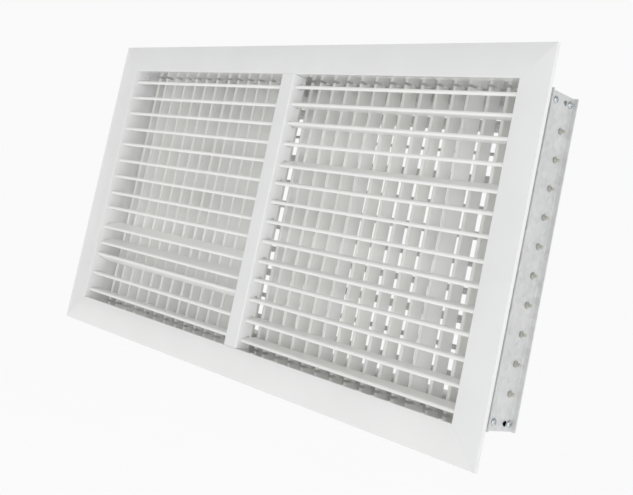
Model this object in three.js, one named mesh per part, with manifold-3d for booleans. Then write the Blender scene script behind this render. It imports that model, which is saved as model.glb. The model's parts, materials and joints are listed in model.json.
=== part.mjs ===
// Double-deflection supply air grille with an opposed-blade damper on its back.
//
// Millimetres, +Z up. The face looks along -Y. The origin is the centre of the opening,
// in the plane of the wall that the flange bears on.

import * as THREE from 'three';
import { mergeVertices } from 'three/addons/utils/BufferGeometryUtils.js';
import Module from 'manifold-3d';

const wasm = await Module();
wasm.setup();

// ---------------------------------------------------------------- driving dimensions

// Frame: four mitred lengths of one aluminium extrusion, a flange with a neck behind it.
const OPENING_W = 598.4;
const OPENING_H = 298.4;
const FLANGE_W = 31.8;
const FLANGE_DEPTH = 4;
const FLANGE_WALL = 1.5;
const NECK_WALL = 1.4;
const NECK_END_Y = 44;
const REBATE_Y = 18;
const REBATE = 1;
const INNER_EDGE_RADIUS = 1.2;
const OUTER_EDGE_CHAMFER = 0.7;
const MITRE_GAP = 0.3;
const FIT_GAP = 0.3;

// Centre mullion, a tube that carries the inner ends of the louvres.
const MULLION_W = 20;
const MULLION_DEPTH = 19;
const MULLION_WALL = 1.4;
const MULLION_EDGE_RADIUS = 1.5;

// Front louvres, two banks of horizontal aerofoils. Tilts are nose down, in degrees.
const LOUVRES_PER_BANK = 14;
const LOUVRE_PITCH = 21.2;
const LOUVRE_CHORD = 18;
const LOUVRE_PIVOT_Y = 9.3;
const LOUVRE_END_GAP = 0.6;
const LOUVRE_TILTS = {
  left: [20, 15, 12, 8, 1, 6, 5, 9, -6, 32, 29, -26, 4, 8],
  right: [15, -4, -5, 7, 28, 13, 6, 8, 12, 13, 5, 6, 14, 17],
};

// Rear vanes, one bank of vertical aerofoils between two bearing strips.
// Turns are leading edge towards +X, in degrees.
const VANE_CHORD = 19;
const VANE_NOSE_ARM = 12;
const VANE_PIVOT_Y = 37.5;
const VANE_TURNS = [
  10, -18, -14, -7, 1, 3, 8, 16, 4, -2, -7, -11, -3, 0, 22,
  2, 3, 0, -3, -2, 1, -3, 4, -2, -2, -25, -1, -2, 0,
];
const VANE_PITCH = OPENING_W / VANE_TURNS.length;
const MIDDLE_VANE_SHIFT = 3;
const STRIP_THICKNESS = 0.7;
const STRIP_START_Y = 18.3;
const STRIP_END_Y = 43;

// Aerofoil section shared by louvres and vanes.
const NOSE_RADIUS = 1.95;
const NOSE_SHOULDER_DEG = 48;
const TAIL_HALF_THICKNESS = 0.5;

// Pivots of the louvres.
const LOUVRE_PIN_RADIUS = 2;
const LOUVRE_HOLE_RADIUS = 2.6;
const PIN_SIDES = 8;
const PIN_PROUD = 1;

// Damper frame, folded from galvanised sheet with its flanges turned outward.
const SHEET = 1.2;
const DAMPER_FRONT_Y = 45;
const DAMPER_BACK_Y = 87.5;
const DAMPER_WEB_X = 298;
const DAMPER_HALF_H = 154.3;
const SIDE_FLANGE = 5;
const DAMPER_TOP_WEB_Z = 135.6;

// Damper blades. Neighbours turn opposite ways; at rest each stands 13.5 degrees off level.
const DAMPER_BLADES = 10;
const DAMPER_PITCH = 26.8;
const DAMPER_PIVOT_Y = 74.7;
const DAMPER_REST_ANGLE = 13.5;
const DAMPER_BLADE_HALF_CHORD = 12.9;
const DAMPER_BLADE_HALF_LENGTH = 290;
const DAMPER_PIN_RADIUS = 2.6;
const DAMPER_HOLE_RADIUS = 3.3;
const DAMPER_PIN_PROUD = 4.9;

// Linkage at the -X end: a crank on each blade, its pin in a slot of one sliding plate.
// The cranks swing evenly above and below level over the travel of the blades.
const CRANK_RADIUS = 8.5;
const CRANK_SET_BACK = 41;
const CRANK_X = [-294.8, -293.6];
const CRANK_WIDTH = 4;
const CRANK_PIN_RADIUS = 1.2;
const PLATE_X = [-296.3, -295.3];
const PLATE_HALF_W = 12;
const PLATE_BOTTOM_Z = -130;
const PLATE_TOP_Z = 121;
const PIN_SLOT_Y = [4.7, 10.2];
const PIN_SLOT_HALF_H = 1.9;
const SHAFT_SLOT_HALF_W = 3.2;
const SHAFT_SLOT_Z = [-13.5, 5.7];

// Tab under one middle blade, pushed through the louvres with a screwdriver.
const TAB_BLADE = 5;
const TAB_X = 31;
const TAB_WIDTH = 14;
const TAB_HEIGHT = 10.5;
const TAB_THICKNESS = 1.5;

// Pan-head screws that hold the damper frame together, each place as [y, height above the middle].
const SCREW_SPOTS = { front: [58, 146.3], rear: [82, 147.3] };
const SCREW_HEAD_RADIUS = 3.7;
const SCREW_HEAD_HEIGHT = 2;
const SCREW_SHANK_RADIUS = 1.5;
const SCREW_LENGTH = 6;
const SCREW_HOLE_RADIUS = 2;
const SPARE_HOLE_SPOT = [74.7, 147.3];
const SPARE_HOLE_RADIUS = 2.6;

// Foam gasket behind the flange.
const GASKET_INNER = 20;
const GASKET_OUTER = 28;
const GASKET_THICKNESS = 2;

// ---------------------------------------------------------------- materials

const paint = new THREE.MeshStandardMaterial({ color: 0xe9e9e5, roughness: 0.45, metalness: 0 });
const galvanised = new THREE.MeshStandardMaterial({ color: 0xbfc2c2, roughness: 0.42, metalness: 0.85 });
const zincScrew = new THREE.MeshStandardMaterial({ color: 0xa9b4bd, roughness: 0.28, metalness: 0.95 });
const foam = new THREE.MeshStandardMaterial({ color: 0x73777a, roughness: 0.95, metalness: 0 });

// ---------------------------------------------------------------- helpers

const radians = THREE.MathUtils.degToRad;

function toSolid(geometry) {
  geometry.deleteAttribute('normal');
  geometry.deleteAttribute('uv');
  const merged = mergeVertices(geometry, 1e-4);
  return new wasm.Manifold(new wasm.Mesh({
    numProp: 3,
    vertProperties: new Float32Array(merged.attributes.position.array),
    triVerts: new Uint32Array(merged.index.array),
  }));
}

function toGeometry(solid) {
  const mesh = solid.getMesh();
  const geometry = new THREE.BufferGeometry();
  geometry.setAttribute('position', new THREE.BufferAttribute(mesh.vertProperties, 3));
  geometry.setIndex(new THREE.BufferAttribute(mesh.triVerts, 1));
  geometry.computeVertexNormals();
  return geometry;
}

// A closed outline extruded by length, centred on its middle.
function extrude(outline, length, curveSegments = 4) {
  const settings = { depth: length, bevelEnabled: false, curveSegments };
  const geometry = new THREE.ExtrudeGeometry(outline, settings);
  return geometry.translate(0, 0, -length / 2);
}

// Turns an extrusion so that its outline lies in Y and Z and its length along X.
function alongX(geometry) {
  const basis = new THREE.Matrix4().makeBasis(
    new THREE.Vector3(0, 1, 0),
    new THREE.Vector3(0, 0, 1),
    new THREE.Vector3(1, 0, 0),
  );
  return geometry.applyMatrix4(basis);
}

// A box given by its lowest and highest corner.
function boxBetween(low, high) {
  const size = high.map((value, i) => value - low[i]);
  const middle = high.map((value, i) => (value + low[i]) / 2);
  return new THREE.BoxGeometry(...size).translate(...middle);
}

// A pin or drill along X from one X to another.
function rodAlongX(radius, fromX, toX, y, z) {
  return new THREE.CylinderGeometry(radius, radius, Math.abs(toX - fromX), PIN_SIDES)
    .rotateZ(Math.PI / 2)
    .translate((fromX + toX) / 2, y, z);
}

function outlineOf(points) {
  return new THREE.Shape(points.map(([x, y]) => new THREE.Vector2(x, y)));
}

// Aerofoil with a round bulb at -X that steps down to thin flanks. Its pivot is at mid-chord.
function aerofoil(chord) {
  const shape = new THREE.Shape();
  const noseCentre = -chord / 2 + NOSE_RADIUS;
  const shoulder = radians(NOSE_SHOULDER_DEG);
  shape.moveTo(noseCentre + NOSE_RADIUS * Math.cos(shoulder), NOSE_RADIUS * Math.sin(shoulder));
  shape.absarc(noseCentre, 0, NOSE_RADIUS, shoulder, 2 * Math.PI - shoulder, false);
  shape.lineTo(chord / 2, -TAIL_HALF_THICKNESS);
  shape.lineTo(chord / 2, TAIL_HALF_THICKNESS);
  shape.closePath();
  return shape;
}

const group = new THREE.Group();

function addPart(name, geometry, material) {
  const mesh = new THREE.Mesh(geometry, material);
  mesh.name = name;
  group.add(mesh);
  return mesh;
}

function number(n) {
  return String(n).padStart(2, '0');
}

// ---------------------------------------------------------------- frame

const halfW = OPENING_W / 2;
const halfH = OPENING_H / 2;
const louvreZ = Array.from(
  { length: LOUVRES_PER_BANK },
  (_, k) => ((LOUVRES_PER_BANK - 1) / 2 - k) * LOUVRE_PITCH,
);

// Section of the frame extrusion: X is the distance outward from the neck's inner face, Y is depth.
function frameSection() {
  const shape = new THREE.Shape();
  const backOfFlange = -FLANGE_DEPTH + FLANGE_WALL;
  const lipInside = FLANGE_W - FLANGE_WALL;
  shape.moveTo(INNER_EDGE_RADIUS, -FLANGE_DEPTH);
  shape.lineTo(FLANGE_W - OUTER_EDGE_CHAMFER, -FLANGE_DEPTH);
  shape.lineTo(FLANGE_W, -FLANGE_DEPTH + OUTER_EDGE_CHAMFER);
  shape.lineTo(FLANGE_W, 0);
  shape.lineTo(lipInside, 0);
  shape.lineTo(lipInside, backOfFlange);
  shape.lineTo(NECK_WALL, backOfFlange);
  shape.lineTo(NECK_WALL, REBATE_Y - NECK_WALL);
  shape.lineTo(NECK_WALL + REBATE, REBATE_Y);
  shape.lineTo(NECK_WALL + REBATE, NECK_END_Y);
  shape.lineTo(REBATE, NECK_END_Y);
  shape.lineTo(REBATE, REBATE_Y);
  shape.lineTo(0, REBATE_Y);
  shape.lineTo(0, -FLANGE_DEPTH + INNER_EDGE_RADIUS);
  shape.absarc(
    INNER_EDGE_RADIUS,
    -FLANGE_DEPTH + INNER_EDGE_RADIUS,
    INNER_EDGE_RADIUS,
    Math.PI,
    1.5 * Math.PI,
    false,
  );
  return shape;
}

// The member above the opening: the farther out, the longer it runs, up to the 45 degree mitres.
function frameMember(halfLength, halfAcross) {
  const geometry = extrude(frameSection(), 2, 3);
  const position = geometry.attributes.position;
  for (let i = 0; i < position.count; i += 1) {
    const outward = position.getX(i);
    const depth = position.getY(i);
    const end = position.getZ(i);
    position.setXYZ(i, -end * (halfLength + outward - MITRE_GAP / 2), depth, halfAcross + outward);
  }
  return geometry;
}

// Drills a row of holes along X, one for each louvre pivot.
function drillLouvreHoles(solid, fromX, toX) {
  return louvreZ.reduce(
    (rest, z) => rest.subtract(toSolid(rodAlongX(LOUVRE_HOLE_RADIUS, fromX, toX, LOUVRE_PIVOT_Y, z))),
    solid,
  );
}

addPart('frame_top', frameMember(halfW, halfH), paint);
addPart('frame_bottom', frameMember(halfW, halfH).rotateY(Math.PI), paint);
for (const [side, sign] of [['left', -1], ['right', 1]]) {
  const member = toSolid(frameMember(halfH, halfW).rotateY(sign * Math.PI / 2));
  const drilled = drillLouvreHoles(member, sign * (halfW - 1), sign * (halfW + NECK_WALL + 1));
  addPart(`frame_${side}`, toGeometry(drilled), paint);
}

// ---------------------------------------------------------------- centre mullion

function mullionOutline() {
  const shape = new THREE.Shape();
  const half = MULLION_W / 2;
  const front = -FLANGE_DEPTH;
  const back = front + MULLION_DEPTH;
  const edge = MULLION_EDGE_RADIUS;
  shape.moveTo(-half + edge, front);
  shape.lineTo(half - edge, front);
  shape.absarc(half - edge, front + edge, edge, -Math.PI / 2, 0, false);
  shape.lineTo(half, back);
  shape.lineTo(-half, back);
  shape.lineTo(-half, front + edge);
  shape.absarc(-half + edge, front + edge, edge, Math.PI, 1.5 * Math.PI, false);
  const inside = half - MULLION_WALL;
  const bore = outlineOf([
    [-inside, front + MULLION_WALL],
    [-inside, back - MULLION_WALL],
    [inside, back - MULLION_WALL],
    [inside, front + MULLION_WALL],
  ]);
  shape.holes.push(bore);
  return shape;
}

const mullionTube = toSolid(extrude(mullionOutline(), OPENING_H - 2 * FIT_GAP, 3));
const mullionDrilled = drillLouvreHoles(mullionTube, -MULLION_W / 2 - 1, MULLION_W / 2 + 1);
addPart('centre_mullion', toGeometry(mullionDrilled), paint);

// ---------------------------------------------------------------- front louvres

const bankWidth = halfW - MULLION_W / 2;

function louvreGeometry() {
  const halfLength = bankWidth / 2 - LOUVRE_END_GAP;
  const blade = toSolid(alongX(extrude(aerofoil(LOUVRE_CHORD), 2 * halfLength, 7)));
  const pinInside = halfLength - 2;
  const pinTip = bankWidth / 2 + NECK_WALL + PIN_PROUD;
  const rightPin = toSolid(rodAlongX(LOUVRE_PIN_RADIUS, pinInside, pinTip, 0, 0));
  const leftPin = toSolid(rodAlongX(LOUVRE_PIN_RADIUS, -pinTip, -pinInside, 0, 0));
  return toGeometry(blade.add(rightPin).add(leftPin));
}

for (const [side, sign] of [['left', -1], ['right', 1]]) {
  louvreZ.forEach((z, k) => {
    const louvre = addPart(`louvre_${side}_${number(k + 1)}`, louvreGeometry(), paint);
    louvre.position.set(sign * (MULLION_W / 2 + bankWidth / 2), LOUVRE_PIVOT_Y, z);
    louvre.rotation.x = radians(LOUVRE_TILTS[side][k]);
  });
}

// ---------------------------------------------------------------- rear vanes

// The aerofoil's nose points to -Y, its length runs along Z, its pivot stands behind mid-chord.
function vane(length, turn) {
  return extrude(aerofoil(VANE_CHORD), length, 7)
    .translate(VANE_CHORD / 2 - VANE_NOSE_ARM, 0, 0)
    .rotateZ(Math.PI / 2 + radians(turn));
}

function vaneBank() {
  const stripOuterZ = halfH + REBATE - FIT_GAP;
  const stripInnerZ = stripOuterZ - STRIP_THICKNESS;
  const vaneLength = stripInnerZ + stripOuterZ;
  const stripHalfLength = halfW + REBATE - FIT_GAP;
  const strips = [1, -1].map((side) => toSolid(boxBetween(
    [-stripHalfLength, STRIP_START_Y, side > 0 ? stripInnerZ : -stripOuterZ],
    [stripHalfLength, STRIP_END_Y, side > 0 ? stripOuterZ : -stripInnerZ],
  )));
  return VANE_TURNS.reduce((bank, turn, k) => {
    const fromMiddle = k - (VANE_TURNS.length - 1) / 2;
    const x = fromMiddle * VANE_PITCH + (fromMiddle === 0 ? MIDDLE_VANE_SHIFT : 0);
    return bank.add(toSolid(vane(vaneLength, turn).translate(x, VANE_PIVOT_Y, 0)));
  }, strips[0].add(strips[1]));
}

addPart('rear_vane_bank', toGeometry(vaneBank()), paint);

// ---------------------------------------------------------------- damper frame

const damperZ = Array.from(
  { length: DAMPER_BLADES },
  (_, k) => ((DAMPER_BLADES - 1) / 2 - k) * DAMPER_PITCH,
);

// A channel section with its two flanges turned outward. X is outward, Y is depth.
function channelOutline(webInner, flangeTip) {
  return outlineOf([
    [webInner, DAMPER_FRONT_Y],
    [flangeTip, DAMPER_FRONT_Y],
    [flangeTip, DAMPER_FRONT_Y + SHEET],
    [webInner + SHEET, DAMPER_FRONT_Y + SHEET],
    [webInner + SHEET, DAMPER_BACK_Y - SHEET],
    [flangeTip, DAMPER_BACK_Y - SHEET],
    [flangeTip, DAMPER_BACK_Y],
    [webInner, DAMPER_BACK_Y],
  ]);
}

function sideChannel(sign) {
  const outline = channelOutline(DAMPER_WEB_X - SHEET, DAMPER_WEB_X + SIDE_FLANGE);
  const channel = toSolid(extrude(outline, 2 * DAMPER_HALF_H).rotateZ(sign > 0 ? 0 : Math.PI));
  // Turning the section over also swaps front and back, so the -X channel is moved in depth.
  const placed = sign > 0 ? channel : channel.translate([0, DAMPER_FRONT_Y + DAMPER_BACK_Y, 0]);
  const fromX = sign * (DAMPER_WEB_X - SHEET - 1);
  const toX = sign * (DAMPER_WEB_X + 1);
  const pivotHoles = damperZ.map((z) => rodAlongX(DAMPER_HOLE_RADIUS, fromX, toX, DAMPER_PIVOT_Y, z));
  const cornerHoles = [1, -1].flatMap((level) => [
    ...Object.values(SCREW_SPOTS).map(([y, z]) => rodAlongX(SCREW_HOLE_RADIUS, fromX, toX, y, level * z)),
    rodAlongX(SPARE_HOLE_RADIUS, fromX, toX, SPARE_HOLE_SPOT[0], level * SPARE_HOLE_SPOT[1]),
  ]);
  return [...pivotHoles, ...cornerHoles].reduce((rest, hole) => rest.subtract(toSolid(hole)), placed);
}

// The channel above the blades, with a tab folded up at each end for the screws.
function topChannel() {
  const halfLength = DAMPER_WEB_X - SHEET - FIT_GAP;
  const outline = channelOutline(DAMPER_TOP_WEB_Z, DAMPER_HALF_H);
  const geometry = extrude(outline, 2 * halfLength).rotateY(-Math.PI / 2);
  const solid = [1, -1].reduce((rest, side) => {
    const fromX = side > 0 ? halfLength - SHEET : -halfLength;
    const tab = toSolid(boxBetween(
      [fromX, DAMPER_FRONT_Y + SHEET / 2, DAMPER_TOP_WEB_Z + SHEET / 2],
      [fromX + SHEET, DAMPER_BACK_Y - SHEET / 2, DAMPER_HALF_H],
    ));
    const drills = Object.values(SCREW_SPOTS).map(([y, z]) => toSolid(
      rodAlongX(SCREW_HOLE_RADIUS, fromX - 1, fromX + SHEET + 1, y, z),
    ));
    return drills.reduce((left, drill) => left.subtract(drill), rest.add(tab));
  }, toSolid(geometry));
  return solid;
}

addPart('damper_side_left', toGeometry(sideChannel(-1)), galvanised);
addPart('damper_side_right', toGeometry(sideChannel(1)), galvanised);
addPart('damper_top', toGeometry(topChannel()), galvanised);
addPart('damper_bottom', toGeometry(topChannel()).rotateY(Math.PI), galvanised);

// ---------------------------------------------------------------- damper blades

// Folded sheet: hemmed edges and a ridge over the shaft. X is depth, Y is height.
function damperBladeOutline() {
  const half = DAMPER_BLADE_HALF_CHORD;
  const quarter = [
    [2, 2.6],
    [4.5, 0.7],
    [half - 2.6, 0.7],
    [half - 2, 1.2],
    [half, 1.2],
  ];
  const upperRight = quarter.map(([x, y]) => [x, y]);
  const lowerRight = quarter.map(([x, y]) => [x, -y]).reverse();
  const lowerLeft = quarter.map(([x, y]) => [-x, -y]);
  const upperLeft = quarter.map(([x, y]) => [-x, y]).reverse();
  return outlineOf([...upperRight, ...lowerRight, ...lowerLeft, ...upperLeft].reverse());
}

// Rising blades lift their leading edge as they close, falling blades drop it.
const rises = (k) => k % 2 === 0;

// Where a blade's crank pin is at rest, seen from its pivot, as [y, z].
function crankOffset(k) {
  const angle = radians(DAMPER_REST_ANGLE - CRANK_SET_BACK);
  const side = rises(k) ? -1 : 1;
  return [side * CRANK_RADIUS * Math.cos(angle), CRANK_RADIUS * Math.sin(angle)];
}

function crank(k) {
  const [y, z] = crankOffset(k);
  const arm = boxBetween([CRANK_X[0], 0, -CRANK_WIDTH / 2], [CRANK_X[1], CRANK_RADIUS, CRANK_WIDTH / 2])
    .rotateX(Math.atan2(z, y));
  const eye = rodAlongX(CRANK_WIDTH / 2 + 0.3, ...CRANK_X, y, z);
  const pin = rodAlongX(CRANK_PIN_RADIUS, PLATE_X[0] - 0.2, CRANK_X[1], y, z);
  return toSolid(arm).add(toSolid(eye)).add(toSolid(pin));
}

function damperBlade(k) {
  const tilt = (rises(k) ? -1 : 1) * radians(DAMPER_REST_ANGLE);
  const sheet = alongX(extrude(damperBladeOutline(), 2 * DAMPER_BLADE_HALF_LENGTH)).rotateX(tilt);
  const pinTip = DAMPER_WEB_X + DAMPER_PIN_PROUD;
  const pinInside = DAMPER_BLADE_HALF_LENGTH - 2;
  const rightPin = rodAlongX(DAMPER_PIN_RADIUS, pinInside, pinTip, 0, 0);
  const leftPin = rodAlongX(DAMPER_PIN_RADIUS, -pinTip, -pinInside, 0, 0);
  return [rightPin, leftPin].reduce((rest, pin) => rest.add(toSolid(pin)), toSolid(sheet)).add(crank(k));
}

damperZ.forEach((z, k) => {
  const blade = addPart(`damper_blade_${number(k + 1)}`, toGeometry(damperBlade(k)), galvanised);
  blade.position.set(0, DAMPER_PIVOT_Y, z);
});

// ---------------------------------------------------------------- damper linkage

// A slot through the sliding plate with chamfered corners.
function slot([fromY, toY], [fromZ, toZ]) {
  const cut = 0.3 * Math.min(toY - fromY, toZ - fromZ);
  const outline = outlineOf([
    [fromY + cut, fromZ],
    [toY - cut, fromZ],
    [toY, fromZ + cut],
    [toY, toZ - cut],
    [toY - cut, toZ],
    [fromY + cut, toZ],
    [fromY, toZ - cut],
    [fromY, fromZ + cut],
  ]);
  return toSolid(alongX(extrude(outline, 4)).translate(PLATE_X[0], 0, 0));
}

// The plate rises as the blades close: rising blades are pinned in front, falling ones behind.
// Its ends are forks, as the slots for the two outermost shafts run out of it.
function slidePlate() {
  const plate = toSolid(boxBetween(
    [PLATE_X[0], DAMPER_PIVOT_Y - PLATE_HALF_W, PLATE_BOTTOM_Z],
    [PLATE_X[1], DAMPER_PIVOT_Y + PLATE_HALF_W, PLATE_TOP_Z],
  ));
  return damperZ.reduce((rest, z, k) => {
    const pinZ = z + crankOffset(k)[1];
    const pinSlotY = PIN_SLOT_Y.map((y) => DAMPER_PIVOT_Y + (rises(k) ? -y : y)).sort((a, b) => a - b);
    const pinSlot = slot(pinSlotY, [pinZ - PIN_SLOT_HALF_H, pinZ + PIN_SLOT_HALF_H]);
    const shaftSlotY = [DAMPER_PIVOT_Y - SHAFT_SLOT_HALF_W, DAMPER_PIVOT_Y + SHAFT_SLOT_HALF_W];
    const shaftSlot = slot(shaftSlotY, SHAFT_SLOT_Z.map((offset) => z + offset));
    return rest.subtract(pinSlot).subtract(shaftSlot);
  }, plate);
}

addPart('slide_plate', toGeometry(slidePlate()), galvanised);

const tabTilt = -radians(DAMPER_REST_ANGLE);
const tab = addPart('operating_tab', boxBetween(
  [-TAB_WIDTH / 2, -TAB_THICKNESS / 2 - 7, -TAB_HEIGHT],
  [TAB_WIDTH / 2, TAB_THICKNESS / 2 - 7, -0.7 - FIT_GAP],
), galvanised);
tab.rotation.x = tabTilt;
tab.position.set(TAB_X, DAMPER_PIVOT_Y, damperZ[TAB_BLADE - 1]);

// ---------------------------------------------------------------- screws and gasket

// Pan-head screw with its axis along +Y, head up, the underside of the head at zero.
function screwGeometry() {
  const profile = [
    [0, -SCREW_LENGTH],
    [SCREW_SHANK_RADIUS, -SCREW_LENGTH + 0.8],
    [SCREW_SHANK_RADIUS, 0],
    [SCREW_HEAD_RADIUS, 0],
    [SCREW_HEAD_RADIUS, SCREW_HEAD_HEIGHT * 0.45],
    [SCREW_HEAD_RADIUS * 0.6, SCREW_HEAD_HEIGHT],
    [0, SCREW_HEAD_HEIGHT],
  ];
  return new THREE.LatheGeometry(profile.map(([x, y]) => new THREE.Vector2(x, y)), 10);
}

for (const [side, sign] of [['left', -1], ['right', 1]]) {
  for (const [level, up] of [['top', 1], ['bottom', -1]]) {
    for (const [place, [y, z]] of Object.entries(SCREW_SPOTS)) {
      const screw = addPart(`screw_${side}_${level}_${place}`, screwGeometry(), zincScrew);
      screw.rotation.z = -sign * Math.PI / 2;
      screw.position.set(sign * (DAMPER_WEB_X + FIT_GAP), y, up * z);
    }
  }
}

function rectangle(halfWidth, halfHeight) {
  return [
    [-halfWidth, -halfHeight],
    [halfWidth, -halfHeight],
    [halfWidth, halfHeight],
    [-halfWidth, halfHeight],
  ];
}

const gasketOutline = outlineOf(rectangle(halfW + GASKET_OUTER, halfH + GASKET_OUTER));
gasketOutline.holes.push(outlineOf(rectangle(halfW + GASKET_INNER, halfH + GASKET_INNER).reverse()));
const gasketMiddleY = -FLANGE_DEPTH + FLANGE_WALL + FIT_GAP + GASKET_THICKNESS / 2;
const gasketGeometry = extrude(gasketOutline, GASKET_THICKNESS)
  .rotateX(Math.PI / 2)
  .translate(0, gasketMiddleY, 0);
addPart('foam_gasket', gasketGeometry, foam);

export default group;
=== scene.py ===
"""Looks of a double-deflection air grille and its opposed-blade damper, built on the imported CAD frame.

Shapes are given in millimetres and turned to metres where a mesh is made. +X runs along the grille,
the face looks along -Y and +Z is up. The origin is the centre of the opening in the wall plane.
"""

import json
import math

import bmesh
import bpy
from mathutils import Matrix, Vector


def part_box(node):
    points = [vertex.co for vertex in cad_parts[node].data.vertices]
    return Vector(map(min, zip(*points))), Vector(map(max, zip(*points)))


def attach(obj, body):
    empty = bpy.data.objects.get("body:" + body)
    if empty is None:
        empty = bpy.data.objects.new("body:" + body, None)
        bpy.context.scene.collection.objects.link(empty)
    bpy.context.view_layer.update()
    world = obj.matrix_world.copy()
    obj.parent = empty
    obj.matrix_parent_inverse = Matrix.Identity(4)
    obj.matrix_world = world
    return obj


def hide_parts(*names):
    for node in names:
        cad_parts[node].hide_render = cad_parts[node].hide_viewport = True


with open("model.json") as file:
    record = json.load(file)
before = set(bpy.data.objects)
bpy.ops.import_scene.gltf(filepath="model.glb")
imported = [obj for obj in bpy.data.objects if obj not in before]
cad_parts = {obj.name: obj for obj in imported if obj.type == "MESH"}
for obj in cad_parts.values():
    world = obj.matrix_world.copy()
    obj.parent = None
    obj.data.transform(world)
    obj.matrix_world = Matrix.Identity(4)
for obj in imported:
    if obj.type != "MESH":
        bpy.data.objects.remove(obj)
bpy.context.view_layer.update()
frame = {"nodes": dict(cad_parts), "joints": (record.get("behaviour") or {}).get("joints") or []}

MM = 0.001
JOINTS = {joint["child"]: joint for joint in frame["joints"]}
SIDES = (("left", -1), ("right", 1))

# ---------------------------------------------------------------- sizes from the frame


def low(node):
    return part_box(node)[0] / MM


def high(node):
    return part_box(node)[1] / MM


HALF_W = low("frame_right").x
HALF_H = low("frame_top").z
FACE_Y = low("frame_top").y
FLANGE = high("frame_right").x - HALF_W
NECK_END = high("frame_top").y
MULLION_HALF = high("centre_mullion").x
MULLION_END = high("centre_mullion").y
STRIP_OUTER_Z = high("rear_vane_bank").z
DAMPER_FRONT = low("damper_side_right").y
DAMPER_BACK = high("damper_side_right").y
DAMPER_FLANGE_X = high("damper_side_right").x
DAMPER_HALF_H = high("damper_side_right").z
DAMPER_WEB_IN = low("damper_side_right").x
DAMPER_TOP_IN = low("damper_top").z
DAMPER_PIN_TIP = high("damper_blade_01").x
BLADE_NAMES = [f"damper_blade_{k:02d}" for k in range(1, 11)]
BLADE_PIVOTS = [Vector(JOINTS[name]["pos_m"]) / MM for name in BLADE_NAMES]

LIP = 1.5
NECK_WALL = 1.4
SHEET = 1.2

# Louvres and vanes.
LOUVRE_CHORD = 18
VANE_CHORD = 19
VANE_NOSE_ARM = 12
VANE_PIVOT_Y = 37.5
VANE_TURNS = (
    10, -18, -14, -7, 1, 3, 8, 16, 4, -2, -7, -11, -3, 0, 22,
    2, 3, 0, -3, -2, 1, -3, 4, -2, -2, -25, -1, -2, 0,
)
VANE_PITCH = 2 * HALF_W / len(VANE_TURNS)
VANE_HALF_LENGTH = 147.9
MIDDLE_VANE_SHIFT = 3
STRIP_THICKNESS = 0.7
STRIP_FRONT = low("rear_vane_bank").y
STRIP_BACK = 43
BLADE_END_GAP = 0.6

# Damper.
DAMPER_REST = 13.5
BLADE_HALF_LENGTH = 290.0
BLADE_TUBE = 1.6
PLUG_RADIUS = 3.4
JOURNAL_RADIUS = 2.6
PLUG_HOLE_RADIUS = 3.5
CRANK_RADIUS = 8.5
CRANK_BACK = 41
CRANK_X = (-294.8, -293.6)
SCREW_SPOTS = {"front": (58, 146.3), "rear": (82, 147.3)}
SPARE_HOLE_Z = 147.3
SPARE_HOLE_RADIUS = 2.7

# Pivot holes of the louvres and of the vanes.
LOUVRE_HOLE_RADIUS = 3.3
VANE_HOLE_RADIUS = 2.1

# Studio. The powers are in watts and the floor's height in metres.
KEY_POWER = 24
SIDE_POWER = 18
REAR_POWER = 6
FLOOR_HEIGHT = -1.1
FLOOR_GLOW = 0.4

# ---------------------------------------------------------------- mesh helpers


def arc(centre, radius, start, stop, steps):
    """Points on an arc from start to stop, in degrees."""
    angles = [math.radians(start + (stop - start) * i / steps) for i in range(steps + 1)]
    return [(centre[0] + radius * math.cos(a), centre[1] + radius * math.sin(a)) for a in angles]


def new_object(name, mesh):
    made = bpy.data.objects.new(name, mesh)
    bpy.context.scene.collection.objects.link(made)
    return made


def skin(rows, bm):
    """Quads between rings of points, with a cap on each end."""
    verts = [[bm.verts.new(Vector(point) * MM) for point in row] for row in rows]
    count = len(verts[0])
    for near, far in zip(verts, verts[1:]):
        for i in range(count):
            j = (i + 1) % count
            bm.faces.new((near[i], near[j], far[j], far[i]))
    bm.faces.new(verts[0][::-1])
    bm.faces.new(verts[-1])


def loft(name, *solids, smooth_angle=32):
    """One mesh of closed solids, each a list of rings."""
    bm = bmesh.new()
    for rows in solids:
        skin(rows, bm)
    bmesh.ops.recalc_face_normals(bm, faces=bm.faces)
    mesh = bpy.data.meshes.new(name)
    bm.to_mesh(mesh)
    bm.free()
    mesh.shade_smooth()
    mesh.set_sharp_from_angle(angle=math.radians(smooth_angle))
    return mesh


def inset(outline, amount):
    """The outline drawn in by amount along its corners' bisectors."""
    moved = []
    count = len(outline)
    area = sum(
        outline[i][0] * outline[(i + 1) % count][1] - outline[(i + 1) % count][0] * outline[i][1]
        for i in range(count)
    )
    side = 1 if area > 0 else -1
    for i, point in enumerate(outline):
        before = Vector(point) - Vector(outline[i - 1])
        after = Vector(outline[(i + 1) % count]) - Vector(point)
        first = Vector((-before.y, before.x)).normalized() * side
        second = Vector((-after.y, after.x)).normalized() * side
        middle = (first + second).normalized()
        reach = amount / max(0.5, middle.dot(first))
        moved.append(tuple(Vector(point) + middle * reach))
    return moved


def bar(outline, start, stop, place, edge=0.15):
    """Rings of a bar with softened ends. place turns (a, b, along) into a point."""
    small = inset(outline, edge)
    return [
        [place(a, b, start) for a, b in small],
        [place(a, b, start + edge) for a, b in outline],
        [place(a, b, stop - edge) for a, b in outline],
        [place(a, b, stop) for a, b in small],
    ]


def along_x(a, b, t):
    return (t, a, b)


def along_z(a, b, t):
    return (a, b, t)


def lathe(profile, place, sides=24):
    """Rings of a round piece. profile is (radius, along) pairs."""
    return [[place(a, b, t) for a, b in arc((0, 0), r, 0, 360 * (sides - 1) / sides, sides - 1)]
            for r, t in profile]


def shifted(rows, offset):
    return [[tuple(Vector(point) + Vector(offset)) for point in row] for row in rows]


def mirrored(rows):
    """The same rings on the other side of the grille."""
    return [[(-x, y, z) for x, y, z in row] for row in rows]


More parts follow.
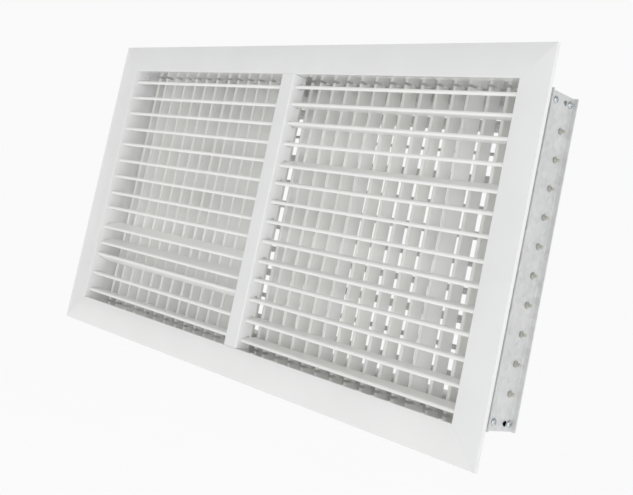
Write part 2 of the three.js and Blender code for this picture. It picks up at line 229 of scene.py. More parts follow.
def turned(rows, angle, axis, centre):
    turn = Matrix.Rotation(math.radians(angle), 3, axis)
    return [[tuple(turn @ (Vector(p) - Vector(centre)) + Vector(centre)) for p in row] for row in rows]


def box_rows(low_corner, high_corner, edge=0.15):
    """Rings of a box along Z with softened ends."""
    (x0, y0, z0), (x1, y1, z1) = low_corner, high_corner
    return bar([(x0, y0), (x1, y0), (x1, y1), (x0, y1)], z0, z1, along_z, edge)


def cut(target, *cutters):
    """Takes closed solids, given as rings, out of the target's mesh."""
    tool = new_object(target.name + "_cutter", loft("cutter", *cutters))
    step = target.modifiers.new("cut", "BOOLEAN")
    step.operation = "DIFFERENCE"
    step.solver = "EXACT"
    step.object = tool
    graph = bpy.context.evaluated_depsgraph_get()
    result = bpy.data.meshes.new_from_object(target.evaluated_get(graph))
    target.modifiers.clear()
    target.data = result
    result.shade_smooth()
    result.set_sharp_from_angle(angle=math.radians(32))
    bpy.data.objects.remove(tool)


def soften(piece, width=0.25, segments=2):
    """Small rounded edges on a piece's corners."""
    step = piece.modifiers.new("edges", "BEVEL")
    step.width = width * MM
    step.segments = segments
    step.limit_method = "ANGLE"
    step.angle_limit = math.radians(40)
    step.harden_normals = True


def place_piece(name, mesh, material, body, stands_for=()):
    """Adds a mesh to the grille as a piece that moves with a body."""
    piece = new_object(name, mesh)
    mesh.materials.clear()
    mesh.materials.append(material)
    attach(piece, body)
    if stands_for:
        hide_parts(*stands_for)
    return piece


# ---------------------------------------------------------------- materials


def new_material(name, base, roughness, metallic=0.0, specular=0.5):
    """A Principled material. Returns it with its node tree's tools."""
    material = bpy.data.materials.new(name)
    material.use_nodes = True
    tree = material.node_tree
    shader = tree.nodes["Principled BSDF"]
    shader.inputs["Base Color"].default_value = (*base, 1)
    shader.inputs["Roughness"].default_value = roughness
    shader.inputs["Metallic"].default_value = metallic
    shader.inputs["Specular IOR Level"].default_value = specular
    return material, tree, shader


def texture(tree, kind, scale, stretch=(1, 1, 1), **settings):
    """A texture node in object coordinates, its scale in cycles per metre."""
    coordinates = tree.nodes.new("ShaderNodeTexCoord")
    mapping = tree.nodes.new("ShaderNodeMapping")
    mapping.inputs["Scale"].default_value = stretch
    node = tree.nodes.new(kind)
    node.inputs["Scale"].default_value = scale
    for key, value in settings.items():
        if key in node.inputs:
            node.inputs[key].default_value = value
        else:
            setattr(node, key, value)
    tree.links.new(coordinates.outputs["Object"], mapping.inputs["Vector"])
    tree.links.new(mapping.outputs["Vector"], node.inputs["Vector"])
    return node


def ramp(tree, source, stops):
    """A colour ramp over a 0 to 1 value. stops are (position, colour)."""
    node = tree.nodes.new("ShaderNodeValToRGB")
    elements = node.color_ramp.elements
    while len(elements) < len(stops):
        elements.new(0.5)
    for element, (position, colour) in zip(elements, stops):
        element.position = position
        element.color = (*colour, 1)
    tree.links.new(source, node.inputs["Fac"])
    return node.outputs["Color"]


def spread(tree, source, lowest, highest):
    """Maps 0 to 1 onto a range."""
    node = tree.nodes.new("ShaderNodeMapRange")
    node.inputs["To Min"].default_value = lowest
    node.inputs["To Max"].default_value = highest
    tree.links.new(source, node.inputs["Value"])
    return node.outputs["Result"]


def mix(tree, kind, factor, first, second):
    """Mixes two colours. factor may be a number or a socket."""
    node = tree.nodes.new("ShaderNodeMix")
    node.data_type = "RGBA"
    node.blend_type = kind
    if isinstance(factor, (int, float)):
        node.inputs["Factor"].default_value = factor
    else:
        tree.links.new(factor, node.inputs["Factor"])
    for socket, value in ((node.inputs["A"], first), (node.inputs["B"], second)):
        if isinstance(value, tuple):
            socket.default_value = (*value, 1)
        else:
            tree.links.new(value, socket)
    return node.outputs["Result"]


def bump(tree, shader, heights):
    """Chains bumps, each (height socket, strength, distance in mm), into the shader's normal."""
    previous = None
    for height, strength, distance in heights:
        node = tree.nodes.new("ShaderNodeBump")
        node.inputs["Strength"].default_value = strength
        node.inputs["Distance"].default_value = distance * MM
        tree.links.new(height, node.inputs["Height"])
        if previous is not None:
            tree.links.new(previous, node.inputs["Normal"])
        previous = node.outputs["Normal"]
    tree.links.new(previous, shader.inputs["Normal"])


def grazing_gloss(tree, shader, weight, roughness):
    """Lays a mirror-like sheen over a shader that only shows at a very low angle."""
    facing = tree.nodes.new("ShaderNodeLayerWeight")
    facing.inputs["Blend"].default_value = 0.5
    fade = tree.nodes.new("ShaderNodeMapRange")
    fade.interpolation_type = "SMOOTHSTEP"
    fade.inputs["From Min"].default_value = 0.55
    fade.inputs["From Max"].default_value = 0.9
    fade.inputs["To Max"].default_value = weight
    sheen = tree.nodes.new("ShaderNodeBsdfGlossy")
    sheen.inputs["Color"].default_value = (0.93, 0.93, 0.93, 1)
    sheen.inputs["Roughness"].default_value = roughness
    blend = tree.nodes.new("ShaderNodeMixShader")
    tree.links.new(facing.outputs["Facing"], fade.inputs["Value"])
    tree.links.new(fade.outputs["Result"], blend.inputs["Fac"])
    tree.links.new(shader.outputs["BSDF"], blend.inputs[1])
    tree.links.new(sheen.outputs["BSDF"], blend.inputs[2])
    tree.links.new(blend.outputs["Shader"], tree.nodes["Material Output"].inputs["Surface"])


def powder_coat(name, base, roughness, coat, sheen=0.0):
    """Satin powder coat: orange peel, a faint cloudiness, a little dust in the matt spots."""
    material, tree, shader = new_material(name, base, roughness)
    peel = texture(tree, "ShaderNodeTexNoise", 700, Detail=2.0)
    cloud = texture(tree, "ShaderNodeTexNoise", 14, Detail=4.0)
    grain = texture(tree, "ShaderNodeTexNoise", 2600, Detail=1.0)
    darker = tuple(c * 0.965 for c in base)
    lighter = tuple(min(1.0, c * 1.02) for c in base)
    colour = ramp(tree, cloud.outputs["Fac"], [(0.3, darker), (0.7, lighter)])
    info = tree.nodes.new("ShaderNodeObjectInfo")
    tint = ramp(tree, info.outputs["Random"], [
        (0.0, (0.965, 0.975, 0.985)),
        (0.5, (1, 1, 1)),
        (1.0, (1, 0.995, 0.975)),
    ])
    tinted = mix(tree, "MULTIPLY", 0.5, colour, tint)
    tree.links.new(tinted, shader.inputs["Base Color"])
    gloss = spread(tree, cloud.outputs["Fac"], roughness - 0.05, roughness + 0.07)
    tree.links.new(gloss, shader.inputs["Roughness"])
    bump(tree, shader, [(peel.outputs["Fac"], 0.1, 0.04), (grain.outputs["Fac"], 0.04, 0.02)])
    shader.inputs["Coat Weight"].default_value = coat
    shader.inputs["Coat Roughness"].default_value = 0.06
    if sheen:
        grazing_gloss(tree, shader, sheen, 0.07)
    return material


def galvanised(name, base, roughness):
    """Hot-dip zinc: overlapping spangles, faint rolling lines and dull patches."""
    material, tree, shader = new_material(name, base, roughness, metallic=0.3)
    spangle = texture(tree, "ShaderNodeTexVoronoi", 210, Randomness=1.0)
    fine = texture(tree, "ShaderNodeTexVoronoi", 620, Randomness=1.0)
    cloud = texture(tree, "ShaderNodeTexNoise", 38, Detail=6.0)
    rolled = texture(tree, "ShaderNodeTexNoise", 30, stretch=(60, 60, 1), Detail=3.0)
    shade = ramp(tree, spangle.outputs["Color"], [
        (0.0, tuple(c * 0.9 for c in base)),
        (0.5, base),
        (1.0, tuple(min(1, c * 1.09) for c in base)),
    ])
    grains = ramp(tree, fine.outputs["Color"], [(0, (0.88, 0.88, 0.9)), (1, (1, 1, 1))])
    patches = ramp(tree, cloud.outputs["Fac"], [(0.25, (0.86, 0.87, 0.88)), (0.7, (1, 1, 1))])
    shade = mix(tree, "MULTIPLY", 0.35, shade, grains)
    shade = mix(tree, "MULTIPLY", 0.6, shade, patches)
    tree.links.new(shade, shader.inputs["Base Color"])
    gloss = spread(tree, spangle.outputs["Distance"], roughness - 0.08, roughness + 0.12)
    tree.links.new(gloss, shader.inputs["Roughness"])
    bump(tree, shader, [
        (cloud.outputs["Fac"], 0.25, 0.15),
        (rolled.outputs["Fac"], 0.12, 0.04),
        (fine.outputs["Distance"], 0.1, 0.03),
    ])
    return material


def nylon_material(name, base):
    """Moulded nylon, a little waxy and cloudy."""
    material, tree, shader = new_material(name, base, 0.42)
    shader.inputs["Subsurface Weight"].default_value = 0.12
    shader.inputs["Subsurface Scale"].default_value = 0.002
    cloud = texture(tree, "ShaderNodeTexNoise", 180, Detail=3.0)
    fine = texture(tree, "ShaderNodeTexNoise", 1500, Detail=2.0)
    colour = ramp(tree, cloud.outputs["Fac"], [(0.3, tuple(c * 0.85 for c in base)), (0.7, base)])
    tree.links.new(colour, shader.inputs["Base Color"])
    bump(tree, shader, [(fine.outputs["Fac"], 0.15, 0.03)])
    return material


def zinc_material():
    """Bright zinc plate with a blue passivate film."""
    material, tree, shader = new_material("zinc_plate", (0.5, 0.54, 0.57), 0.1, metallic=1.0)
    film = texture(tree, "ShaderNodeTexNoise", 420, Detail=3.0)
    scratch = texture(tree, "ShaderNodeTexNoise", 900, stretch=(1, 1, 8), Detail=2.0)
    colour = ramp(tree, film.outputs["Fac"], [
        (0.3, (0.4, 0.45, 0.52)),
        (0.55, (0.52, 0.56, 0.58)),
        (0.8, (0.56, 0.55, 0.5)),
    ])
    tree.links.new(colour, shader.inputs["Base Color"])
    tree.links.new(spread(tree, scratch.outputs["Fac"], 0.06, 0.2), shader.inputs["Roughness"])
    bump(tree, shader, [(scratch.outputs["Fac"], 0.1, 0.02)])
    return material


def foam_material(name, base):
    """Closed-cell foam."""
    material, tree, shader = new_material(name, base, 0.9)
    cells = texture(tree, "ShaderNodeTexVoronoi", 1400, Randomness=1.0)
    cloud = texture(tree, "ShaderNodeTexNoise", 60, Detail=4.0)
    darker = tuple(c * 0.88 for c in base)
    colour = ramp(tree, cloud.outputs["Fac"], [(0.3, darker), (0.7, base)])
    tree.links.new(colour, shader.inputs["Base Color"])
    bump(tree, shader, [(cells.outputs["Distance"], 0.6, 0.25)])
    return material


FRAME_COAT = powder_coat("frame_powder_coat", (0.87, 0.875, 0.875), 0.24, coat=0.5, sheen=0.8)
# The blades' own white powder coat, set lighter than the frame's same coat: painted light that lifts the
# shaded flanks of the vanes behind the louvres.
BLADE_COAT_PAINTED_LIGHT = powder_coat("blade_powder_coat", (0.93, 0.93, 0.91), 0.32, coat=0.1)
GALVANISED = galvanised("galvanised_sheet", (0.68, 0.685, 0.68), 0.45)
# A darker copy of the galvanised sheet for the damper blades and the top and bottom channels: painted
# shade for parts that lie in shadow inside the neck.
ZINC_PAINTED_SHADE = galvanised("galvanised_blade", (0.58, 0.585, 0.57), 0.42)
NYLON = nylon_material("natural_nylon", (0.42, 0.425, 0.37))
BUSH = nylon_material("white_nylon", (0.8, 0.8, 0.77))
ZINC = zinc_material()
FOAM = foam_material("gasket_foam", (0.55, 0.555, 0.56))
# Near-black pads behind the spare holes: painted shade for the dark cavity seen through them.
PAINTED_SHADE_FOAM = foam_material("corner_seal_foam", (0.06, 0.06, 0.06))

# ---------------------------------------------------------------- frame


def frame_outline():
    """Section of the frame extrusion as (outward from the opening, depth)."""
    back = FACE_Y + LIP
    edge, corner, fillet = 0.6, 0.5, 0.6
    return [
        *arc((edge, FACE_Y + edge), edge, 180, 270, 6),
        *arc((FLANGE - corner, FACE_Y + corner), corner, -90, 0, 3),
        (FLANGE, -0.15),
        (FLANGE - 0.15, 0),
        (FLANGE - LIP + 0.15, 0),
        (FLANGE - LIP, -0.15),
        *arc((FLANGE - LIP - fillet, back + fillet), fillet, 0, -90, 2),
        *arc((NECK_WALL + fillet, back + fillet), fillet, -90, -180, 2),
        (NECK_WALL, 16.6),
        (NECK_WALL + 1, 18),
        (NECK_WALL + 1, NECK_END - 0.2),
        (NECK_WALL + 0.8, NECK_END),
        (1.2, NECK_END),
        (1, NECK_END - 0.2),
        (1, 18),
        (0, 18),
    ]


def mitred(half_length, half_across, gap=0.04):
    """Rings of the member above the opening, longer the farther out they lie."""
    outline = frame_outline()
    return [[(side * (half_length + out - gap), depth, half_across + out) for out, depth in outline]
            for side in (-1, 1)]


def louvre_holes(from_x, to_x, radius):
    """Rods through every louvre pivot of one bank."""
    profile = [(radius, from_x), (radius, to_x)]
    bank = [joint for name, joint in JOINTS.items() if name.startswith("louvre_left")]
    pivots = [Vector(joint["pos_m"]) / MM for joint in bank]
    return [shifted(lathe(profile, along_x, 20), (0, p.y, p.z)) for p in pivots]


def make_frame():
    top = mitred(HALF_W, HALF_H)
    side = mitred(HALF_H, HALF_W)
    rows = {
        "top": top,
        "bottom": turned(top, 180, "Y", (0, 0, 0)),
        "left": turned(side, -90, "Y", (0, 0, 0)),
        "right": turned(side, 90, "Y", (0, 0, 0)),
    }
    for name, solid in rows.items():
        node = f"frame_{name}"
        mesh = loft(node, solid)
        piece = place_piece(f"{name}_frame_member", mesh, FRAME_COAT, "grille", [node])
        if name in ("left", "right"):
            sign = 1 if name == "right" else -1
            inside, outside = sign * (HALF_W - 1), sign * (HALF_W + NECK_WALL + 1)
            cut(piece, *louvre_holes(inside, outside, LOUVRE_HOLE_RADIUS))


def make_mullion():
    half, front, back = MULLION_HALF, FACE_Y, MULLION_END
    edge = 1.5
    outline = [
        *arc((half - edge, front + edge), edge, -90, 0, 6),
        *arc((half - 0.4, back - 0.4), 0.4, 0, 90, 2),
        *arc((-half + 0.4, back - 0.4), 0.4, 90, 180, 2),
        *arc((-half + edge, front + edge), edge, 180, 270, 6),
    ]
    mesh = loft("centre_mullion", bar(outline, -HALF_H + 0.2, HALF_H - 0.2, along_z, 0.1))
    piece = place_piece("mullion_bar", mesh, FRAME_COAT, "grille", ["centre_mullion"])
    inner = half - 1.4
    bore = box_rows((-inner, front + 1.4, -HALF_H - 1), (inner, back - 1.4, HALF_H + 1), 0.1)
    cut(piece, bore)
    cut(piece, *louvre_holes(-half - 1, half + 1, LOUVRE_HOLE_RADIUS))


# ---------------------------------------------------------------- louvres and vanes


def aerofoil(chord, nose=1.95, shoulder=48, tail=0.5, steps=8):
    """Section with its nose at -a: a round bulb, then gently bowed flanks and a thin tail."""
    centre, end = -chord / 2 + nose, chord / 2 - tail
    bulb = arc((centre, 0), nose, shoulder, 360 - shoulder, 20)
    start, half = bulb[-1][0], -bulb[-1][1]
    lower = []
    for i in range(1, steps):
        t = i / steps
        bow = 0.1 * math.sin(math.pi * t)
        lower.append((start + (end - start) * t, -half - (tail - half) * t - bow))
    upper = [(a, -b) for a, b in lower[::-1]]
    return [*bulb, *lower, *arc((end, 0), tail, -90, 90, 4), *upper]


def bank_centre(sign):
    return sign * (MULLION_HALF + HALF_W) / 2


def make_louvres():
    half = (HALF_W - MULLION_HALF) / 2
    length = half - BLADE_END_GAP
    blade = loft("louvre_blade", bar(aerofoil(LOUVRE_CHORD), -length, length, along_x, 0.12))
    pin_tip = half + NECK_WALL + 1
    pin = [(1.7, length), (1.9, length + 0.15), (1.9, pin_tip - 0.2), (1.6, pin_tip)]
    collar = [(2.7, half + 0.35), (2.9, half + 0.5), (2.9, half + 1.2), (2.7, half + 1.35)]
    pins = loft(
        "louvre_pins",
        lathe(pin, along_x), lathe([(r, -t) for r, t in pin], along_x),
        lathe(collar, along_x), lathe([(r, -t) for r, t in collar], along_x),
    )
    for side, sign in SIDES:
        for k in range(1, 15):
            node = f"louvre_{side}_{k:02d}"
            joint = JOINTS[node]
            tilt = -sum(joint["range_deg"]) / 2
            spot = Matrix.Translation((bank_centre(sign) * MM, *joint["pos_m"][1:]))
            matrix = spot @ Matrix.Rotation(math.radians(tilt), 4, "X")
            for name, mesh, material, nodes in (
                (f"{node}_blade", blade, BLADE_COAT_PAINTED_LIGHT, [node]),
                (f"{node}_pins", pins, BUSH, []),
            ):
                piece = new_object(name, mesh)
                if not mesh.materials:
                    mesh.materials.append(material)
                piece.matrix_world = matrix
                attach(piece, node)
                if nodes:
                    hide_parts(*nodes)


def vane_x(k):
    """Pivot of a rear vane. The middle one stands a little to one side."""
    from_middle = k - (len(VANE_TURNS) - 1) / 2
    return from_middle * VANE_PITCH + (MIDDLE_VANE_SHIFT if from_middle == 0 else 0)


def make_vanes():
    section = [(a + VANE_CHORD / 2 - VANE_NOSE_ARM, b) for a, b in aerofoil(VANE_CHORD)]
    blade = loft("vane_blade", bar(section, -VANE_HALF_LENGTH, VANE_HALF_LENGTH, along_z, 0.12))
    blade.materials.append(BLADE_COAT_PAINTED_LIGHT)
    strip_in = STRIP_OUTER_Z - STRIP_THICKNESS
    stub = [(3.1, VANE_HALF_LENGTH - 0.1), (3.3, strip_in - 0.3), (3.3, strip_in), (1.5, strip_in + 0.1),
            (1.5, STRIP_OUTER_Z - 0.2)]
    stubs = loft("vane_stubs", lathe(stub, along_z, 16), lathe([(r, -t) for r, t in stub], along_z, 16))
    stubs.materials.append(BUSH)
    for k, turn in enumerate(VANE_TURNS):
        spot = Matrix.Translation((vane_x(k) * MM, VANE_PIVOT_Y * MM, 0))
        matrix = spot @ Matrix.Rotation(math.radians(90 + turn), 4, "Z")
        for name, mesh in ((f"rear_vane_{k + 1:02d}", blade), (f"rear_vane_{k + 1:02d}_stubs", stubs)):
            piece = new_object(name, mesh)
            piece.matrix_world = matrix
            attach(piece, "grille")
            if mesh is blade:
                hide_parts("rear_vane_bank")


def make_strips():
    half = high("rear_vane_bank").x
    inner = STRIP_OUTER_Z - STRIP_THICKNESS
    for label, sign in (("top", 1), ("bottom", -1)):
        low_z, high_z = sorted((sign * inner, sign * STRIP_OUTER_Z))
        rows = box_rows((-half, STRIP_FRONT, low_z), (half, STRIP_BACK, high_z), 0.1)
        mesh = loft(f"bearing_strip_{label}", rows)
        piece = place_piece(f"bearing_strip_{label}", mesh, FRAME_COAT, "grille")
        holes = [
            shifted(lathe([(VANE_HOLE_RADIUS, low_z - 1), (VANE_HOLE_RADIUS, high_z + 1)], along_z, 16),
                    (vane_x(k), VANE_PIVOT_Y, 0))
            for k in range(len(VANE_TURNS))
        ]
        cut(piece, *holes)


# ---------------------------------------------------------------- damper frame


def channel_outline(web_in, tip):
    """Folded sheet, a web with two flanges turned outward, as (outward, depth)."""
    bend = 0.5
    outer = bend + SHEET
    front, back = DAMPER_FRONT, DAMPER_BACK
    web_out = web_in + SHEET
    return [
        *arc((web_in + outer, front + outer), outer, 180, 270, 5),
        (tip - 0.1, front),
        (tip, front + 0.1),
        (tip, front + SHEET - 0.1),
        (tip - 0.1, front + SHEET),
        *arc((web_out + bend, front + SHEET + bend), bend, 270, 180, 4),
        *arc((web_out + bend, back - SHEET - bend), bend, 180, 90, 4),
        (tip - 0.1, back - SHEET),
        (tip, back - SHEET + 0.1),
        (tip, back - 0.1),
        (tip - 0.1, back),
        *arc((web_in + outer, back - outer), outer, 90, 180, 5),
    ]


def hole(radius, from_x, to_x, y, z, sides=20):
    return shifted(lathe([(radius, from_x), (radius, to_x)], along_x, sides), (0, y, z))


def spare_holes(from_x, to_x):
    """A punched hole with a torn edge near each corner, between its two screws."""
    y = BLADE_PIVOTS[0].y
    rings = []
    for z in (SPARE_HOLE_Z, -SPARE_HOLE_Z):
        rows = lathe([(SPARE_HOLE_RADIUS, from_x), (SPARE_HOLE_RADIUS, to_x)], along_x, 14)
        torn = [
            [(a, b * (1.12 if c > 0 else 0.9), c * (1.1 if b > 0 else 0.85)) for a, b, c in row]
            for row in rows
        ]
        rings.append(shifted(torn, (0, y, z)))
    return rings


def make_damper_sides():
    outline = channel_outline(DAMPER_WEB_IN, DAMPER_FLANGE_X)
    from_x, to_x = DAMPER_WEB_IN - 2, DAMPER_WEB_IN + SHEET + 2
    small = [(0.9, 47.9, 31), (1.1, 48.4, 2), (0.8, 84.6, 74), (0.7, 83.9, 58)]
    holes = [hole(PLUG_HOLE_RADIUS, from_x, to_x, p.y, p.z) for p in BLADE_PIVOTS]
    holes += [hole(2.0, from_x, to_x, y, level * z) for level in (1, -1) for y, z in SCREW_SPOTS.values()]
    holes += spare_holes(from_x, to_x)
    holes += [hole(r, from_x, to_x, y, z, 12) for r, y, z in small]
    for side, sign in SIDES:
        node = f"damper_side_{side}"
        rows = bar(outline, -DAMPER_HALF_H, DAMPER_HALF_H, along_z, 0.1)
        drills = holes
        if sign < 0:
            rows = mirrored(rows)
            drills = [mirrored(h) for h in holes]
        mesh = loft(node, rows)
        name = f"damper_channel_{side}"
        piece = place_piece(name, mesh, GALVANISED, "grille", [node])
        cut(piece, *drills)


def make_damper_top_bottom():
    half = high("damper_top").x
    outline = channel_outline(DAMPER_TOP_IN, DAMPER_HALF_H)
    for label, sign in (("top", 1), ("bottom", -1)):
        node = f"damper_{label}"
        channel = bar(outline, -half, half, lambda a, b, t: (t, b, a), 0.1)
        front, back = DAMPER_FRONT + SHEET + 0.3, DAMPER_BACK - SHEET - 0.3
        right_tab = box_rows(
            (half - SHEET, front, DAMPER_TOP_IN + SHEET),
            (half, back, DAMPER_HALF_H - 0.3),
        )
        solids = [channel, mirrored(right_tab), right_tab]
        if sign < 0:
            solids = [turned(s, 180, "Y", (0, 0, 0)) for s in solids]
        mesh = loft(node, *solids)
        name = f"damper_channel_{label}"
        # The top and bottom channels take the darker copy of the zinc: painted shade.
        piece = place_piece(name, mesh, ZINC_PAINTED_SHADE, "grille", [node])
        left_holes = spare_holes(-half - 2, -half + SHEET + 2)
        right_holes = spare_holes(half - SHEET - 2, half + 2)
        cut(piece, *left_holes, *right_holes)


def make_painted_shade_pads():
    """Near-black foam pads behind the corner tabs, seen through the spare holes: painted shade for the
    dark cavity behind each hole.
    """
    inner = high("damper_top").x - SHEET
    y = BLADE_PIVOTS[0].y
    for side, sign in SIDES:
        for level, up in (("top", 1), ("bottom", -1)):
            z = up * SPARE_HOLE_Z
            xs = sorted((sign * inner, sign * (inner - 4)))
            rows = box_rows((xs[0], y - 4.5, z - 3.8), (xs[1], y + 4.5, z + 3.8), 0.4)
            mesh = loft(f"corner_seal_{side}_{level}", rows)
            place_piece(f"corner_seal_{side}_{level}", mesh, PAINTED_SHADE_FOAM, "grille")


# ---------------------------------------------------------------- damper blades


def blade_outline():
    """Roll-formed sheet: a tube round the shaft, three ribs each side and hemmed edges."""
    half, sheet = 12.9, 0.8
    upper = [(-half, 0.0), (-half + 0.4, 0.9), (-half + 2.2, 0.9), (-half + 2.6, 0.4)]
    for centre in (-9.0, -6.8, -4.6):
        upper += [(centre - 0.7, 0.2), (centre - 0.3, 1.2), (centre + 0.3, 1.2), (centre + 0.7, 0.2)]
    upper += arc((0, 0), BLADE_TUBE, 160, 90, 4)
    full = upper + [(-a, b) for a, b in upper[-2::-1]]
    lower = [(a, b - sheet if abs(a) > BLADE_TUBE else -b) for a, b in full[-2:0:-1]]
    return full + lower


def make_damper_blades():
    half = BLADE_HALF_LENGTH
    outline = blade_outline()
    tip = DAMPER_PIN_TIP
    web = DAMPER_WEB_IN + SHEET
    start = [(PLUG_RADIUS - 0.4, half), (PLUG_RADIUS, half + 0.4)]
    pin_end = [(1.6, web + 1.65), (1.5, tip - 0.3), (1.2, tip)]
    journal = [(JOURNAL_RADIUS, web + 1.3), (2.3, web + 1.6), *pin_end]
    collar_end = [(PLUG_RADIUS, DAMPER_WEB_IN - 0.4), (JOURNAL_RADIUS, DAMPER_WEB_IN - 0.2)]
    plug = [*start, *collar_end, *journal]
    # Thin where it passes through the slot of the slide plate.
    slotted_end = [(PLUG_RADIUS, -CRANK_X[0] - 0.2), (JOURNAL_RADIUS, -CRANK_X[0])]
    slotted_plug = [*start, *slotted_end, *journal]
    for k, (name, pivot) in enumerate(zip(BLADE_NAMES, BLADE_PIVOTS)):
        rises = k % 2 == 0
        tilt = -DAMPER_REST if rises else DAMPER_REST
        rows = turned(bar(outline, -half, half, along_x, 0.1), tilt, "X", (0, 0, 0))
        mesh = loft(name, shifted(rows, pivot), smooth_angle=25)
        # The leaves take the darker copy of the zinc: painted shade.
        place_piece(f"{name}_leaf", mesh, ZINC_PAINTED_SHADE, name, [name])
        left = lathe([(r, -t) for r, t in slotted_plug], along_x)
        plugs = loft(f"{name}_plugs", shifted(lathe(plug, along_x), pivot), shifted(left, pivot))
        place_piece(f"{name}_plugs", plugs, NYLON, name)
        place_piece(f"{name}_crank", crank_mesh(name, rises, pivot), GALVANISED, name)


def crank_mesh(name, rises, pivot):
    """Arm and pin that reach from the shaft to the slide plate."""
    angle = DAMPER_REST - CRANK_BACK
    outline = [
        *arc((0, 0), 3.9, 40, 320, 12),
        *arc((CRANK_RADIUS, 0), 2.2, -90, 90, 8),
    ]
    arm = bar(outline, *CRANK_X, along_x, 0.1)
    pin = shifted(lathe([(1.2, CRANK_X[0] - 1.6), (1.2, CRANK_X[0])], along_x, 12), (0, CRANK_RADIUS, 0))
    if rises:
        parts = [turned(p, 180 - angle, "X", (0, 0, 0)) for p in (arm, pin)]
    else:
        parts = [turned(p, angle, "X", (0, 0, 0)) for p in (arm, pin)]
    return loft(f"{name}_crank", *[shifted(p, pivot) for p in parts])


def keep_cad(node, material, edge=0.2):
    """Shows a CAD node with a finished material and softened edges."""
    shown = frame["nodes"][node]
    shown.data.materials.clear()
    shown.data.materials.append(material)
    soften(shown, edge)


# ---------------------------------------------------------------- screws


def make_screws():
    """Pan-head screws with a cross recess, head outward."""
    head = [(0.3, 2.0), (1.3, 1.97), (2.4, 1.75), (3.2, 1.25), (3.6, 0.55), (3.65, 0.15), (3.5, 0.0)]
    thread = []
    for i in range(8):
        thread += [(1.5, -0.7 * i - 0.1), (1.15, -0.7 * i - 0.45)]
    profile = [*head, *thread, (0.3, -6.0)]
    rows = lathe(profile, along_x, 32)
    shape = new_object("screw_shape", loft("screw", rows, smooth_angle=40))
    recess = box_rows((0.5, -2.1, -0.5), (2.4, 2.1, 0.5), 0.05)
    for angle in (20, 110):
        cut(shape, turned(recess, angle, "X", (0, 0, 0)))
    mesh = shape.data
    bpy.data.objects.remove(shape)
    mesh.materials.append(ZINC)
    for side, sign in SIDES:
        for level, up in (("top", 1), ("bottom", -1)):
            for place, (y, z) in SCREW_SPOTS.items():
                node = f"screw_{side}_{level}_{place}"
                piece = new_object(f"{node}_head", mesh)
                spin = Matrix.Rotation(math.radians(37 * y + 50 * sign + up * z), 4, "X")
                face = Matrix.Identity(4) if sign > 0 else Matrix.Rotation(math.pi, 4, "Z")
                spot = Matrix.Translation((sign * (DAMPER_WEB_IN + SHEET) * MM, y * MM, up * z * MM))
                piece.matrix_world = spot @ face @ spin
                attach(piece, "grille")
                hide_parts(node)


# ---------------------------------------------------------------- camera, light and floor


def make_camera():
    data = bpy.data.cameras.new("camera")
    camera = new_object("camera", data)
    data.sensor_fit = "HORIZONTAL"
    data.sensor_width = 36
    data.lens = 55.11
    data.shift_y = -0.1224
    data.clip_start = 0.01
    heading, pitch, roll = 46.6, 4.795, 12.03
    turn = (
        Matrix.Rotation(math.radians(heading), 4, "Z")
        @ Matrix.Rotation(math.radians(90 + pitch), 4, "X")
        @ Matrix.Rotation(math.radians(roll), 4, "Z")
    )
    camera.matrix_world = Matrix.Translation((0.78936, -0.67951, -0.03397)) @ turn
    bpy.context.scene.camera = camera


def area_light(name, place, target, size, power):
    data = bpy.data.lights.new(name, "AREA")
    data.shape = "RECTANGLE"
    data.size, data.size_y = size
    data.energy = power
    light = new_object(name, data)
    direction = Vector(target) - Vector(place)
    aim = direction.to_track_quat("-Z", "Y").to_matrix().to_4x4()
    light.matrix_world = Matrix.Translation(place) @ aim
    return light


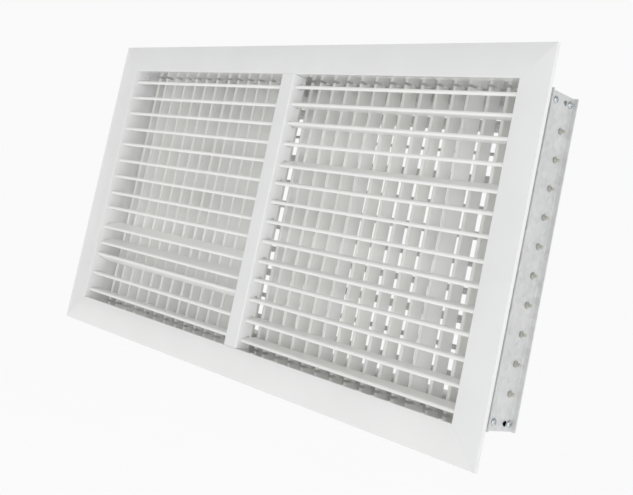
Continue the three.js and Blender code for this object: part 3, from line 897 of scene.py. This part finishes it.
def make_world():
    """A pale studio: bright behind the grille and dimmer on the side that the face looks at."""
    world = bpy.data.worlds.new("studio")
    world.use_nodes = True
    tree = world.node_tree
    background = tree.nodes["Background"]
    coordinates = tree.nodes.new("ShaderNodeTexCoord")
    facing = tree.nodes.new("ShaderNodeVectorMath")
    facing.operation = "DOT_PRODUCT"
    facing.inputs[1].default_value = (-0.72, 0.69, 0.0)
    tree.links.new(coordinates.outputs["Generated"], facing.inputs[0])
    fade = tree.nodes.new("ShaderNodeMapRange")
    fade.interpolation_type = "SMOOTHSTEP"
    fade.inputs["From Min"].default_value = 0.1
    fade.inputs["From Max"].default_value = 0.75
    fade.inputs["To Min"].default_value = 0.42
    fade.inputs["To Max"].default_value = 0.942
    tree.links.new(facing.outputs["Value"], fade.inputs["Value"])
    tree.links.new(fade.outputs["Result"], background.inputs["Color"])
    background.inputs["Strength"].default_value = 1.0
    bpy.context.scene.world = world


def make_lights():
    area_light("key", (2.3, -3.5, -0.1), (0, 0, 0), (2.2, 1.8), KEY_POWER)
    area_light("side", (3.5, -0.9, 0.15), (0.1, 0.05, 0), (1.4, 1.6), SIDE_POWER)
    area_light("rear", (2.8, 2.2, 0.4), (0.1, 0.05, 0), (1.6, 1.6), REAR_POWER)


def make_floor():
    size = 6.0
    bm = bmesh.new()
    corners = ((-size, -size), (size, -size), (size, size), (-size, size))
    bm.faces.new([bm.verts.new((x, y, FLOOR_HEIGHT)) for x, y in corners])
    mesh = bpy.data.meshes.new("floor")
    bm.to_mesh(mesh)
    bm.free()
    floor = new_object("floor", mesh)
    material, tree, shader = new_material("floor_paint", (0.97, 0.97, 0.97), 0.9, specular=0.1)
    cloud = texture(tree, "ShaderNodeTexNoise", 2, Detail=3.0)
    stops = [(0.3, (0.965, 0.965, 0.965)), (0.7, (0.975, 0.975, 0.975))]
    colour = ramp(tree, cloud.outputs["Fac"], stops)
    tree.links.new(colour, shader.inputs["Base Color"])
    shader.inputs["Emission Color"].default_value = (1, 1, 1, 1)
    shader.inputs["Emission Strength"].default_value = FLOOR_GLOW
    mesh.materials.append(material)


# ---------------------------------------------------------------- assembly

make_frame()
make_mullion()
make_louvres()
make_vanes()
make_strips()
make_damper_sides()
make_damper_top_bottom()
make_painted_shade_pads()
make_damper_blades()
make_screws()
keep_cad("slide_plate", GALVANISED, 0.15)
keep_cad("operating_tab", GALVANISED, 0.3)
keep_cad("foam_gasket", FOAM, 0.5)

make_world()
make_lights()
make_floor()
make_camera()
bpy.context.scene.view_settings.view_transform = "Standard"
bpy.context.scene.view_settings.gamma = 1.3
